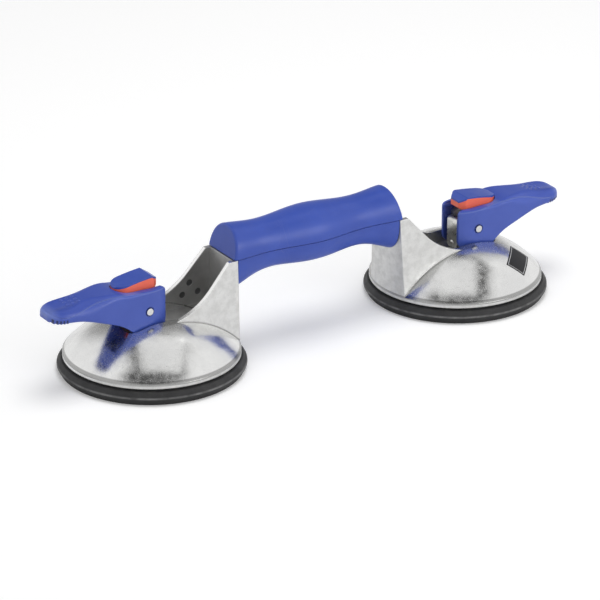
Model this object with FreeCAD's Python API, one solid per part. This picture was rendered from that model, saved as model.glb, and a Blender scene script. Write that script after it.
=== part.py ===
"""Double suction-cup lifter for floor tiles.

Two cast cup housings stand on round rubber pads and carry a plastic grip
between them.  Over each cup a lever turns on a fixed pin.  Pushed down, its
short arm draws a stirrup, a stud and the middle of the pad upwards, and the
pad clings to the tile.  A latch button on the lever lets it rise again.

All sizes are in millimetres.  The lifter stands on z = 0, X runs along the
grip and Y across it.  Every foot is modelled once, about its own centre with
+X pointing away from the grip, and placed twice by a half turn.
"""
import FreeCAD
import Part
import math
import os

# ---------------------------------------------------------------- driving sizes
foot_spacing = 230.0          # between the centres of the two cups

# rubber pad
pad_radius = 60.0             # widest flange
pad_ring_radius = 58.0        # sealing ring under the flange
pad_ring_height = 2.7
pad_ring_inner = 46.0
pad_height = 10.0             # from the tile to the rim of the housing
pad_rise = 7.0                # of the middle's underside, with the lever down
pad_web = 5.0                 # thickness in the middle
pad_flat_radius = 12.0        # flat middle of the underside
pad_groove = 6.4              # height of the web just inside the rim's seat

# cup housing, an aluminium casting
rim_radius = 56.3
rim_band = 2.6                # height of the straight band above the pad
rim_bead = 0.8                # step between the band and the dome
dome_below_pin = 6.9          # from the lever's pin down to the dome's top, were it not cut
dome_foot_rise = 0.92         # of the dome's lower edge above the band
casting_wall = 3.0
dome_wall = 3.5
rim_wall = 3.8
riser_half_width = 19.7       # at the height of the rim
riser_draft = 4.2             # degrees, each side leans in
riser_wall = 5.0              # the wall that carries the grip
web_edge = 34.0               # height of the trough's edge beside the lever
web_sweep = 51.0              # radius of the web's hollow top edge
web_sweep_end = 3.0           # where that edge runs out level
web_slope = 48.0              # degrees, of the straight edge above the sweep
trough_floor = 27.4
trough_front = 24.0           # beyond the cup's centre
trough_corner = 7.0
floor_wall = 3.5
boss_radius = 10.0            # guide for the stud
boss_foot = 16.0
pocket_radius = 7.0
pocket_depth = 4.2
ear_inner = 6.5               # the two ears that hold the lever's pin
ear_wall = 3.5
ear_radius = 8.5
ear_side = 6.0                # from the pin to the ear's face on the stud's side
ear_waist = 3.0               # below the pin, where that face starts to lean
ear_foot = (4.2, 11.0)        # ends of the ear's foot, beyond the pin
ear_notch = 1.5

# lever mechanism
arm_length = 9.0              # from the lever's pin to the link pin
lever_lift = 35.0             # degrees from clamped to released
pivot_height = 44.5
lever_pin_radius = 2.25
lever_pin_stands_out = 0.4
link_pin_radius = 1.5
running_clearance = 0.06
seat_clearance = 0.02
link_side_clearance = 0.5     # room for the link pin's arc inside the stirrup
link_top_clearance = 0.05

# stirrup and stud
stirrup_width = 11.5
stirrup_thickness = 1.0
stirrup_foot = 1.9            # above the trough's floor
stirrup_corner = 3.0
rivet_above_foot = 2.7
rivet_radius = 1.5
rivet_head_radius = 2.6
rivet_head = 1.1
stud_radius = 4.0
stud_shoulder = 1.9           # below the trough's floor
stud_tang_above_rivet = 3.5
plate_radius = 20.0
plate_thickness = 2.0
spring_wire = 1.5
spring_radius = 12.5
spring_turns = 4
coil_steps = 10               # straight lengths in a turn of any coil
coil_sides = 5

# lever, a hollow plastic moulding
lever_half_width = 13.5
cheek = 3.0
lever_tail = -4.6
lever_tail_corner = 3.0       # rounding of the tail, seen from the side
lever_sole_radius = 16.7      # about the pin, under the cheeks
lever_sole_start = -48.0      # degrees round the pin, where the sole begins
lever_sole_end = -133.0
lever_mouth = 0.9             # wider than the pin, where its end shows
lever_mouth_depth = 1.6
lever_heel = 7.5              # below the pin, where the tail's straight edge ends
lever_hollow_front = 44.0
# beyond the cup's centre, half width, top and underside from the pin's height,
# rounding of the top edges, rounding of the lower edges
lever_stations = (
    (-6.0, 8.4, 13.4, -20.0, 1.4, 0.8),
    (3.0, 12.6, 13.5, -20.0, 1.6, 0.8),
    (12.0, 13.5, 13.7, -20.0, 1.8, 0.8),
    (20.0, 13.5, 13.9, -12.4, 2.0, 0.8),
    (25.0, 13.5, 14.6, -8.0, 2.4, 0.8),
    (31.0, 13.5, 15.8, -4.6, 3.6, 1.0),
    (40.0, 13.5, 16.0, -1.2, 6.2, 1.4),
    (50.0, 13.3, 15.4, 2.1, 8.8, 2.2),
    (58.0, 12.8, 14.4, 3.9, 7.6, 2.4),
    (66.0, 12.2, 13.6, 4.6, 6.2, 2.2),
    (72.0, 10.4, 12.6, 5.0, 4.8, 2.0),
    (75.3, 7.2, 11.2, 6.0, 3.0, 1.6),
    (76.5, 3.6, 9.9, 7.2, 1.4, 0.9),
)
# inside of the cheeks: beyond the cup's centre, half width
lever_inside = ((-7.0, 6.6), (-2.0, 8.9), (1.9, 10.25), (6.0, 10.5), (34.0, 10.5), (44.0, 8.4))

# latch button, heights from the lever's pin
button_half_width = 7.8
button_gap = 0.6
button_tail = -1.0
button_nose = 28.0
button_sole = 10.5
button_sole_ends = (4.0, 23.5)
button_tail_foot = 13.4
button_tail_top = 18.2
button_ridge = (3.6, 21.0)
button_back = (16.0, 19.5)    # on the bow between the ridge and the nose
button_nose_top = 17.4
button_nose_foot = 13.2
button_nose_round = 1.2
button_tail_half_width = 4.6
button_tail_taper = 3.4
cap_thickness = 1.2
button_pin_along = 9.0
button_pin_rise = 10.8
button_pin_radius = 1.25
button_hub_radius = 2.6
button_hub_half = 6.2
button_spring_wire = 0.8
button_spring_half = 2.6
button_spring_turns = 3
tooth_along = 14.2
tooth_width = 3.0
tooth_thickness = 1.9
tooth_clearance = 0.5

# grip
parting_height = 65.2         # also the top of the risers
grip_half_length = 63.3
grip_end_lean = 3.9           # the upper shell's ends lean in by this much
grip_end_round = 1.6
grip_heel_round = 7.0         # lower corners beside the risers
shell_wall = 2.5
shell_step = 0.8              # the lower shell lies this far inside the upper one
shell_clearance = 0.3
seam_height = 0.7             # shadow line between the shells
past_grip = 40.0              # how far cutting blocks reach, clear of the grip
seam_depth = 1.6
upper_fullness = 2.15         # 2 is an ellipse, more is squarer
lower_fullness = 2.7
# distance from the middle, half width, top above and bottom below the parting plane
grip_stations = (
    (0.0, 18.6, 19.2, 16.2),
    (16.0, 17.0, 18.2, 15.4),
    (33.0, 14.9, 16.9, 14.5),
    (48.0, 15.4, 17.8, 17.9),
    (63.3, 16.4, 18.8, 23.4),
)
lug_length = 15.0             # of the riser's lug inside the grip
lug_half_width = 6.5
lug_height = 4.6
bar_thickness = 3.0
bar_below_parting = 1.8
bar_end_gap = 0.6
bar_screws_along = (55.0, 48.0)
bar_screw_radius = 2.0
bar_screw_head_radius = 3.3
bar_screw_head = 2.2
shell_screw_along = 24.0
shell_screw_radius = 1.5
shell_screw_head_radius = 2.9
shell_screw_head = 1.8
shell_boss_radius = 4.4
shell_screw_depth = 12.0      # of thread in the upper shell's boss

# ---------------------------------------------------------------- derived places
foot_offset = foot_spacing / 2.0
half_lift = math.radians(lever_lift / 2.0)
pivot_along = arm_length * (1.0 + math.cos(half_lift)) / 2.0
link_along = pivot_along - arm_length * math.cos(half_lift)
link_height = pivot_height + arm_length * math.sin(half_lift)
rivet_height = trough_floor + stirrup_foot + rivet_above_foot
riser_radius = rim_radius     # the riser's outer face is flush with the rim
button_pin_height = pivot_height + button_pin_rise
lever_tip = lever_stations[-1][0]
lever_low = pivot_height - lever_sole_radius
lever_high = pivot_height + 3.0 * lever_half_width
rim_foot = pad_height
rim_top = rim_foot + rim_band
dome_foot_radius = rim_radius - rim_bead
dome_apex = pivot_height - dome_below_pin
dome_rise = dome_apex - rim_top - dome_foot_rise
dome_radius = (dome_foot_radius ** 2 + dome_rise ** 2) / (2.0 * dome_rise)
dome_centre = dome_apex - dome_radius
riser_face = -riser_radius + riser_wall
plate_foot = pad_rise + pad_web
plate_top = plate_foot + plate_thickness
loop_radius = link_pin_radius + link_side_clearance
arc_off_axis = arm_length * (1.0 - math.cos(half_lift)) / 2.0
loop_gap = link_side_clearance - link_top_clearance
loop_centre = link_height - math.sqrt(loop_gap ** 2 - arc_off_axis ** 2)
bar_top = parting_height - bar_below_parting
bar_foot = bar_top - bar_thickness
ear_outer = ear_inner + ear_wall


def vec(x, y, z):
    return FreeCAD.Vector(x, y, z)


def arc(start, middle, end):
    return Part.Arc(start, middle, end).toShape()


def line(start, end):
    return Part.LineSegment(start, end).toShape()


def spline(points):
    curve = Part.BSplineCurve()
    curve.interpolate(points)
    return curve.toShape()


def chain(points):
    """Straight edges from point to point, open at the end."""
    return [line(start, end) for start, end in zip(points[:-1], points[1:])]


def face_of(edges):
    return Part.Face(Part.Wire(edges))


def slab(face, half_width):
    """Side view extruded to both sides of the middle plane."""
    face.translate(vec(0, -half_width, 0))
    return face.extrude(vec(0, 2.0 * half_width, 0))


def block(x0, x1, y0, y1, z0, z1):
    return Part.makeBox(x1 - x0, y1 - y0, z1 - z0, vec(x0, y0, z0))


def pin_across(along, height, radius, half_length):
    """Cylinder with its axis along Y."""
    return Part.makeCylinder(radius, 2.0 * half_length, vec(along, -half_length, height), vec(0, 1, 0))


def drafted(x0, x1, z0, z1, half_width_at):
    """Block along X whose half width follows the height."""
    low = half_width_at(z0)
    high = half_width_at(z1)
    points = [vec(x0, -low, z0), vec(x0, low, z0), vec(x0, high, z1), vec(x0, -high, z1)]
    face = Part.Face(Part.makePolygon(points + points[:1]))
    return face.extrude(vec(x1 - x0, 0, 0))


def revolved(edges):
    return face_of(edges).revolve(vec(0, 0, 0), vec(0, 0, 1), 360)


def dome_height(radius, skin=0.0):
    return dome_centre + math.sqrt((dome_radius - skin) ** 2 - radius ** 2)


def riser_half(height):
    lean = math.tan(math.radians(riser_draft))
    return riser_half_width - (height - rim_top) * lean


def trough_half(height):
    return riser_half(height) - casting_wall


# ---------------------------------------------------------------- cup and pad
def make_pad():
    """Rubber pad with its middle drawn up, a flange and a flat sealing ring."""
    flange_foot = pad_ring_height + 0.5 * (pad_radius - pad_ring_radius)
    flange_top = pad_height - 2.6
    seat = rim_radius - rim_wall - 1.5
    web_middle = (plate_radius + seat) / 2
    underside = arc(
        vec(pad_ring_inner, 0, 0),
        vec((pad_ring_inner + pad_flat_radius) / 2, 0, 0.55 * pad_rise),
        vec(pad_flat_radius, 0, pad_rise),
    )
    edges = [underside]
    edges += chain([
        vec(pad_flat_radius, 0, pad_rise),
        vec(0, 0, pad_rise),
        vec(0, 0, plate_foot),
        vec(plate_radius, 0, plate_foot),
    ])
    edges += [
        arc(
            vec(plate_radius, 0, plate_foot),
            vec(web_middle, 0, pad_groove + 0.6 * (plate_foot - pad_groove)),
            vec(seat - 2.0, 0, pad_groove),
        ),
        line(vec(seat - 2.0, 0, pad_groove), vec(seat, 0, pad_height)),
        line(vec(seat, 0, pad_height), vec(rim_radius + 0.4, 0, pad_height)),
        arc(
            vec(rim_radius + 0.4, 0, pad_height),
            vec(pad_radius - 0.7, 0, pad_height - 0.9),
            vec(pad_radius, 0, flange_top),
        ),
    ]
    edges += chain([
        vec(pad_radius, 0, flange_top),
        vec(pad_radius, 0, flange_foot),
        vec(pad_ring_radius, 0, pad_ring_height),
        vec(pad_ring_radius, 0, 0.6),
        vec(pad_ring_radius - 0.6, 0, 0),
        vec(pad_ring_inner, 0, 0),
    ])
    return revolved(edges)


def make_housing():
    """Domed casting with its riser, webs, trough, ears, guide boss and lug."""
    outside = [
        line(vec(0, 0, rim_foot), vec(rim_radius, 0, rim_foot)),
        line(vec(rim_radius, 0, rim_foot), vec(rim_radius, 0, rim_top)),
        line(vec(rim_radius, 0, rim_top), vec(dome_foot_radius, 0, dome_height(dome_foot_radius))),
        arc(
            vec(dome_foot_radius, 0, dome_height(dome_foot_radius)),
            vec(dome_foot_radius / 2, 0, dome_height(dome_foot_radius / 2)),
            vec(0, 0, dome_apex),
        ),
        line(vec(0, 0, dome_apex), vec(0, 0, rim_foot)),
    ]
    dome = revolved(outside)

    inner_radius = rim_radius - rim_wall
    below = rim_foot - 1.0
    inside = [
        line(vec(0, 0, below), vec(inner_radius, 0, below)),
        line(vec(inner_radius, 0, below), vec(inner_radius, 0, dome_height(inner_radius, dome_wall))),
        arc(
            vec(inner_radius, 0, dome_height(inner_radius, dome_wall)),
            vec(inner_radius / 2, 0, dome_height(inner_radius / 2, dome_wall)),
            vec(0, 0, dome_apex - dome_wall),
        ),
        line(vec(0, 0, dome_apex - dome_wall), vec(0, 0, below)),
    ]
    hollow = revolved(inside)

    # side view of the riser and its webs: level, a straight slope, a hollow sweep, level again
    slope = math.radians(web_slope)
    sweep_centre = web_edge + web_sweep

    def on_sweep(angle):
        return vec(web_sweep_end - web_sweep * math.sin(angle), 0, sweep_centre - web_sweep * math.cos(angle))

    foot = on_sweep(slope)
    brow = vec(foot.x - (parting_height - foot.z) / math.tan(slope), 0, parting_height)
    back = -riser_radius - 1.0
    front = web_sweep_end + boss_radius
    side = [
        line(vec(back, 0, rim_top), vec(back, 0, parting_height)),
        line(vec(back, 0, parting_height), brow),
        line(brow, foot),
        arc(foot, on_sweep(slope / 2), on_sweep(0)),
        line(on_sweep(0), vec(front, 0, web_edge)),
        line(vec(front, 0, web_edge), vec(front, 0, rim_top)),
        line(vec(front, 0, rim_top), vec(back, 0, rim_top)),
    ]
    riser = slab(face_of(side), riser_half_width + 1.0)
    riser = riser.common(drafted(back, front, rim_top, parting_height, riser_half))
    riser = riser.common(Part.makeCylinder(riser_radius, parting_height, vec(0, 0, 0)))

    trough_top = parting_height + 5.0
    trough = drafted(riser_face, trough_front, trough_floor, trough_top, trough_half)
    upright = [edge for edge in trough.Edges
               if abs(edge.CenterOfMass.x - trough_front) < 0.1 and abs(edge.CenterOfMass.y) > 5.0
               and edge.CenterOfMass.z > trough_floor + 5.0]
    trough = trough.makeFillet(trough_corner, upright)

    def skin_half(height):
        return trough_half(height) + casting_wall

    skin = drafted(-riser_radius, trough_front + casting_wall, trough_floor - floor_wall, trough_top, skin_half)
    boss = Part.makeCylinder(boss_radius, trough_floor - boss_foot, vec(0, 0, boss_foot))
    hollow = hollow.cut(skin).cut(boss)
    core = drafted(riser_face, -spring_radius, below, trough_floor - floor_wall, trough_half)

    ear_base = trough_floor - 1.0
    outline = [
        vec(pivot_along - ear_side, 0, pivot_height), vec(pivot_along - ear_side, 0, pivot_height - ear_waist),
        vec(pivot_along + ear_foot[0], 0, ear_base), vec(pivot_along + ear_foot[1], 0, ear_base),
        vec(pivot_along + ear_radius, 0, pivot_height), vec(pivot_along - ear_side, 0, pivot_height),
    ]
    ears = pin_across(pivot_along, pivot_height, ear_radius, ear_outer)
    ears = ears.common(block(pivot_along - ear_side, pivot_along + ear_radius, -ear_outer, ear_outer,
                             pivot_height, pivot_height + ear_radius))
    ears = ears.fuse(slab(face_of(chain(outline)), ear_outer))
    ears = ears.cut(block(pivot_along - 2 * ear_radius, pivot_along + 2 * ear_radius, -ear_inner, ear_inner,
                          ear_base - 1.0, pivot_height + 2 * ear_radius))
    notch_reach = (ear_radius + ear_notch / 3) * math.sqrt(0.5)
    ears = ears.cut(pin_across(pivot_along + notch_reach, pivot_height + notch_reach, ear_notch, ear_outer + 1))

    lug_root = -riser_radius + 1.0
    lug = block(lug_root - lug_length - 1.0, lug_root, -lug_half_width, lug_half_width,
                bar_foot - lug_height, bar_foot)
    ends = [edge for edge in lug.Edges
            if abs(edge.CenterOfMass.x - (lug_root - lug_length - 1.0)) < 0.1
            and abs(abs(edge.CenterOfMass.y) - lug_half_width) < 0.1]
    lug = lug.makeFillet(2.0, ends)

    housing = dome.fuse([riser, lug])
    housing = housing.cut(hollow)
    housing = housing.cut(core)
    housing = housing.cut(trough)
    housing = housing.fuse(ears)
    housing = housing.cut(Part.makeCylinder(pocket_radius, pocket_depth + 0.5,
                                            vec(0, 0, trough_floor - pocket_depth)))
    housing = housing.cut(Part.makeCylinder(stud_radius + running_clearance, trough_floor,
                                            vec(0, 0, boss_foot - 1)))
    housing = housing.cut(pin_across(pivot_along, pivot_height, lever_pin_radius + seat_clearance,
                                     ear_outer + 1))
    for along in bar_screws_along:
        housing = housing.cut(Part.makeCylinder(bar_screw_radius + seat_clearance, lug_height + 2,
                                                vec(along - foot_offset, 0, bar_foot - lug_height - 1)))
    return housing.removeSplitter()


def make_stud():
    """Plate bonded to the pad, with a shank that ends in a flat tang."""
    plate = Part.makeCylinder(plate_radius, plate_thickness, vec(0, 0, plate_foot))
    tang_top = rivet_height + stud_tang_above_rivet
    shank = Part.makeCylinder(stud_radius, tang_top - plate_top + 0.5, vec(0, 0, plate_top - 0.5))
    shoulder = trough_floor - stud_shoulder
    tang = block(-loop_radius, loop_radius, -stud_radius, stud_radius, shoulder, tang_top)
    shank = shank.common(tang.fuse(Part.makeCylinder(stud_radius, shoulder, vec(0, 0, 0))))
    stud = plate.fuse(shank)
    bore = Part.makeCylinder(rivet_radius + seat_clearance, 4 * stud_radius,
                             vec(-2 * stud_radius, 0, rivet_height), vec(1, 0, 0))
    return stud.cut(bore).removeSplitter()


def make_stirrup():
    """Steel strap bent over the link pin, its legs on both sides of the tang."""
    half_width = stirrup_width / 2
    outer = loop_radius + stirrup_thickness
    foot = trough_floor + stirrup_foot
    strap = block(-outer, outer, -half_width, half_width, foot, loop_centre)
    strap = strap.fuse(pin_across(0, loop_centre, outer, half_width))
    strap = strap.cut(block(-loop_radius, loop_radius, -half_width, half_width, foot - 1, loop_centre))
    strap = strap.cut(pin_across(0, loop_centre, loop_radius, half_width))
    strap = strap.removeSplitter()
    corners = [edge for edge in strap.Edges
               if abs(edge.CenterOfMass.z - foot) < 0.05
               and abs(abs(edge.CenterOfMass.y) - half_width) < 0.05]
    strap = strap.makeFillet(stirrup_corner, corners)
    bore = Part.makeCylinder(rivet_radius + seat_clearance, 4 * outer, vec(-2 * outer, 0, rivet_height),
                             vec(1, 0, 0))
    return strap.cut(bore)


def make_rivet():
    """Rivet along X through the stirrup and the tang."""
    outer = loop_radius + stirrup_thickness
    rivet = Part.makeCylinder(rivet_radius, 2 * outer, vec(-outer, 0, rivet_height), vec(1, 0, 0))
    for sign in (-1, 1):
        ball = (rivet_head_radius ** 2 + rivet_head ** 2) / (2 * rivet_head)
        centre = vec(sign * (outer + rivet_head - ball), 0, rivet_height)
        head = Part.makeSphere(ball, centre, vec(1, 0, 0))
        head = head.common(Part.makeCylinder(rivet_head_radius, rivet_head + 1,
                                             vec(sign * outer, 0, rivet_height), vec(sign, 0, 0)))
        rivet = rivet.fuse(head)
    return rivet.removeSplitter()


def make_coil(radius, wire, height, turns):
    """Coil standing on z = 0 about the Z axis, in short straight lengths of six-sided wire."""
    rise = height - wire
    count = coil_steps * turns
    points = []
    for step in range(count + 1):
        angle = 2 * math.pi * step / coil_steps
        points.append(vec(radius * math.cos(angle), radius * math.sin(angle), wire / 2 + rise * step / count))
    along = points[1] - points[0]
    outward = vec(1, 0, 0)
    upward = along.cross(outward).normalize()
    outward = upward.cross(along).normalize()
    corners = []
    for corner in range(coil_sides):
        angle = 2 * math.pi * corner / coil_sides
        offset = outward * (math.cos(angle) * wire / 2) + upward * (math.sin(angle) * wire / 2)
        corners.append(points[0] + offset)
    section = Part.makePolygon(corners + corners[:1])
    mitred = 1
    return Part.Wire(chain(points)).makePipeShell([section], True, False, mitred)


def make_stud_spring():
    """Coil that pushes the plate down when the lever lets go."""
    room = trough_floor - floor_wall - plate_top
    spring = make_coil(spring_radius, spring_wire, room - 0.4, spring_turns)
    spring.translate(vec(0, 0, plate_top + 0.2))
    return spring


# ---------------------------------------------------------------- lever and button
def round_pin(angle):
    """Point of the lever's sole, at an angle in degrees round the pin."""
    turn = math.radians(angle)
    return vec(pivot_along + lever_sole_radius * math.cos(turn), 0,
               pivot_height + lever_sole_radius * math.sin(turn))


def lever_section(station):
    """Cross-section with level top and sole, upright sides and four rounded corners."""
    along, half, top, low, crown, keel = station
    high = pivot_height + top
    foot = pivot_height + low
    bow = 1.0 - math.sqrt(0.5)
    edges = []
    for sign in (1, -1):
        corners = [
            vec(along, sign * (half - keel), foot), vec(along, sign * (half - keel * bow), foot + keel * bow),
            vec(along, sign * half, foot + keel), vec(along, sign * half, high - crown),
            vec(along, sign * (half - crown * bow), high - crown * bow),
            vec(along, sign * (half - crown), high),
        ]
        corners = corners if sign == 1 else corners[::-1]
        edges.append(arc(*corners[:3]))
        edges.append(line(corners[2], corners[3]))
        edges.append(arc(*corners[3:]))
        edges.append(line(corners[5], vec(along, -corners[5].y, corners[5].z)))
    return Part.Wire(edges)


def make_lever():
    """Hollow lever, open below and behind, with a broad thumb rest at its tip."""
    body = Part.makeLoft([lever_section(station) for station in lever_stations], True, False)

    heel = vec(lever_tail, 0, pivot_height - lever_heel)
    sole_end = round_pin(lever_sole_end)
    start = round_pin(lever_sole_start)
    middle = round_pin((lever_sole_start + lever_sole_end) / 2)
    heel_middle = (heel + sole_end) * 0.5 + vec(-0.45, 0, -0.45)
    side = [arc(heel, heel_middle, sole_end), arc(sole_end, middle, start)]
    side += chain([start, vec(lever_tip + 1, 0, start.z), vec(lever_tip + 1, 0, lever_high),
                   vec(lever_tail, 0, lever_high), heel])
    body = body.common(slab(face_of(side), lever_half_width + 1))

    tail_top = pivot_height + lever_stations[0][2]
    corner = block(lever_tail - 1, lever_tail + lever_tail_corner, -lever_half_width, lever_half_width,
                   tail_top - lever_tail_corner, tail_top + 1)
    corner = corner.cut(pin_across(lever_tail + lever_tail_corner, tail_top - lever_tail_corner,
                                   lever_tail_corner, lever_half_width))
    body = body.cut(corner)

    ceiling = [vec(station[0], 0, pivot_height + station[2] - cheek)
               for station in lever_stations if station[0] < lever_hollow_front]
    ceiling[0].x = lever_inside[0][0]
    ceiling.append(vec(lever_hollow_front, 0, ceiling[-1].z - 0.2))
    inside = [spline(ceiling)]
    inside += chain([ceiling[-1], vec(lever_hollow_front, 0, lever_low - 1),
                     vec(ceiling[0].x, 0, lever_low - 1), ceiling[0]])
    plan = [vec(along, half, lever_low - 2) for along, half in lever_inside]
    plan += [vec(point.x, -point.y, point.z) for point in reversed(plan)]
    plan.append(plan[0])
    hollow = slab(face_of(inside), lever_half_width)
    body = body.cut(hollow.common(face_of(chain(plan)).extrude(vec(0, 0, lever_high - lever_low))))

    slot_half = button_half_width + button_gap
    slot_centre = button_nose - button_half_width
    slot_foot = pivot_height + ear_radius - 1
    slot = block(lever_tail - 2, slot_centre, -slot_half, slot_half, slot_foot, lever_high)
    slot = slot.fuse(Part.makeCylinder(slot_half, lever_high - slot_foot, vec(slot_centre, 0, slot_foot)))
    body = body.cut(slot)

    body = body.cut(pin_across(pivot_along, pivot_height, lever_pin_radius + running_clearance,
                               lever_half_width + 1))
    body = body.cut(pin_across(link_along, link_height, link_pin_radius + seat_clearance, link_pin_half + 0.1))
    body = body.cut(pin_across(button_pin_along, button_pin_height, button_pin_radius + seat_clearance,
                               button_pin_half + 0.1))
    for sign in (-1, 1):
        mouth = Part.makeCylinder(lever_pin_radius + lever_mouth, 2 * lever_mouth_depth,
                                  vec(pivot_along, sign * (lever_half_width - lever_mouth_depth), pivot_height),
                                  vec(0, sign, 0))
        body = body.cut(mouth)
    return body


def button_side(along, rise):
    return vec(along, 0, pivot_height + rise)


def button_blank():
    """Whole button before the cap is parted from the latch."""
    ridge = button_side(*button_ridge)
    nose_top = button_side(button_nose - button_nose_round, button_nose_top)
    nose_foot = button_side(button_nose - 0.9, button_nose_foot)
    nose = button_side(button_nose, button_nose_top - button_nose_round)
    tail_top = button_side(button_tail, button_tail_top)
    tail_foot = button_side(button_tail, button_tail_foot)
    side = [
        line(tail_foot, tail_top),
        line(tail_top, ridge),
        arc(ridge, button_side(*button_back), nose_top),
        arc(nose_top, nose, nose_foot),
    ]
    side += chain([nose_foot, button_side(button_sole_ends[1], button_sole),
                   button_side(button_sole_ends[0], button_sole), tail_foot])
    blank = slab(face_of(side), button_half_width)
    centre = button_nose - button_half_width
    full = button_tail + button_tail_taper
    low = pivot_height
    near = vec(centre, -button_half_width, low)
    far = vec(centre, button_half_width, low)
    plan = chain([
        near, vec(full, -button_half_width, low), vec(button_tail, -button_tail_half_width, low),
        vec(button_tail, button_tail_half_width, low), vec(full, button_half_width, low), far,
    ])
    plan.append(arc(far, vec(button_nose, 0, low), near))
    return blank.common(face_of(plan).extrude(vec(0, 0, 2 * button_tail_top)))


def cap_region():
    """Everything above the joint between the cap and the latch."""
    slope = (button_ridge[1] - button_tail_top) / (button_ridge[0] - button_tail)
    tail = button_side(button_tail - 1, button_tail_top - slope - cap_thickness)
    ridge = button_side(button_ridge[0], button_ridge[1] - cap_thickness)
    back = button_side(button_back[0], button_back[1] - cap_thickness)
    nose = button_side(button_nose + 1, button_nose_top - 0.8 - cap_thickness)
    high = 2 * button_tail_top
    edges = [line(tail, ridge), arc(ridge, back, nose)]
    edges += chain([nose, button_side(button_nose + 1, high), button_side(button_tail - 1, high), tail])
    return slab(face_of(edges), button_half_width + 1)


def make_cap():
    return button_blank().common(cap_region())


def make_latch():
    """Red body of the button, with its hub and the two catching teeth."""
    latch = button_blank().cut(cap_region())
    hub = pin_across(button_pin_along, button_pin_height, button_hub_radius, button_hub_half)
    latch = latch.fuse(hub)
    inner = button_half_width - tooth_thickness - 0.1
    reach = ear_radius + tooth_clearance
    across = tooth_along - pivot_along
    tooth_foot = pivot_height + math.sqrt(reach ** 2 - across ** 2)
    tooth_root = pivot_height + button_sole + 0.5
    for sign in (-1, 1):
        side = sorted((sign * inner, sign * (inner + tooth_thickness)))
        latch = latch.fuse(block(tooth_along, tooth_along + tooth_width, side[0], side[1],
                                 tooth_foot, tooth_root))
    relief = button_hub_radius + 0.4
    latch = latch.cut(block(button_pin_along - relief, button_pin_along + relief,
                            -button_spring_half - 0.3, button_spring_half + 0.3,
                            button_pin_height - relief, button_pin_height + relief))
    bore = pin_across(button_pin_along, button_pin_height, button_pin_radius + running_clearance,
                      button_half_width + 1)
    return latch.cut(bore).removeSplitter()


def make_button_spring():
    """Torsion coil round the button's pin, with one leg under the lever's back
    and the other under the button's tail."""
    radius = button_pin_radius + running_clearance + 0.3 + button_spring_wire / 2
    coil = make_coil(radius, button_spring_wire, 2 * button_spring_half, button_spring_turns)
    coil.rotate(vec(0, 0, 0), vec(1, 0, 0), 90)
    coil.translate(vec(button_pin_along, button_spring_half, button_pin_height))
    return coil


# ---------------------------------------------------------------- grip
def grip_section(station, skin, upper):
    """Half oval above or below the parting plane, through nine points of a superellipse."""
    along, half_width, rise, drop = station
    if upper:
        across = half_width - skin
        reach = rise - skin
        power = 2.0 / upper_fullness
    else:
        across = half_width - shell_step - skin
        reach = skin - drop
        power = 2.0 / lower_fullness
    points = []
    for step in range(9):
        angle = math.pi * step / 8
        side = math.copysign(abs(math.cos(angle)) ** power, math.cos(angle))
        depth = abs(math.sin(angle)) ** power if 0 < step < 8 else 0.0
        points.append(vec(along, across * side, parting_height + reach * depth))
    return Part.Wire([spline(points), line(points[-1], points[0])])


def grip_solid(skin, upper):
    """Loft through the stations on both sides of the middle."""
    stations = [(-along, half, rise, drop) for along, half, rise, drop in reversed(grip_stations[1:])]
    stations += list(grip_stations)
    return Part.makeLoft([grip_section(station, skin, upper) for station in stations], True, False)


def upper_ends(skin):
    """Slab between the leaning ends of the upper shell."""
    highest = grip_stations[0][2] + 1
    lean = grip_end_lean * highest / grip_stations[-1][2]
    reach = grip_half_length - skin
    points = [vec(-reach, 0, parting_height), vec(reach, 0, parting_height),
              vec(reach - lean, 0, parting_height + highest), vec(lean - reach, 0, parting_height + highest)]
    return slab(face_of(chain(points + points[:1])), 2 * lever_half_width)


def make_upper_shell():
    shell = grip_solid(0.0, True).common(upper_ends(0.0))
    rims = [edge for edge in shell.Edges
            if abs(edge.CenterOfMass.x) > grip_half_length - grip_end_lean
            and edge.CenterOfMass.z > parting_height + 2.0]
    shell = shell.makeFillet(grip_end_round, rims)
    hollow = grip_solid(shell_wall, True).common(upper_ends(shell_wall))
    bosses = []
    for sign in (-1, 1):
        boss = Part.makeCylinder(shell_boss_radius, past_grip, vec(sign * shell_screw_along, 0, bar_top))
        bosses.append(boss)
    hollow = hollow.cut(bosses)
    shell = shell.cut(hollow)
    seam = block(-2 * grip_half_length, 2 * grip_half_length, -past_grip, past_grip,
                 parting_height, parting_height + seam_height)
    shell = shell.cut(seam.cut(grip_solid(seam_depth, True).common(upper_ends(seam_depth))))
    for boss in bosses:
        spigot = boss.common(block(-60, 60, -20, 20, bar_top, parting_height + 1))
        shell = shell.fuse(spigot)
    for sign in (-1, 1):
        shell = shell.cut(Part.makeCylinder(shell_screw_radius + seat_clearance, shell_screw_depth + 1,
                                            vec(sign * shell_screw_along, 0, bar_top - 0.5)))
    return shell.removeSplitter()


def shell_bottom(along):
    """Height of the grip's underside, read from the stations."""
    for first, second in zip(grip_stations[:-1], grip_stations[1:]):
        if first[0] <= along <= second[0]:
            share = (along - first[0]) / (second[0] - first[0])
            return parting_height - first[3] - share * (second[3] - first[3])
    return parting_height - grip_stations[-1][3]


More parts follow.
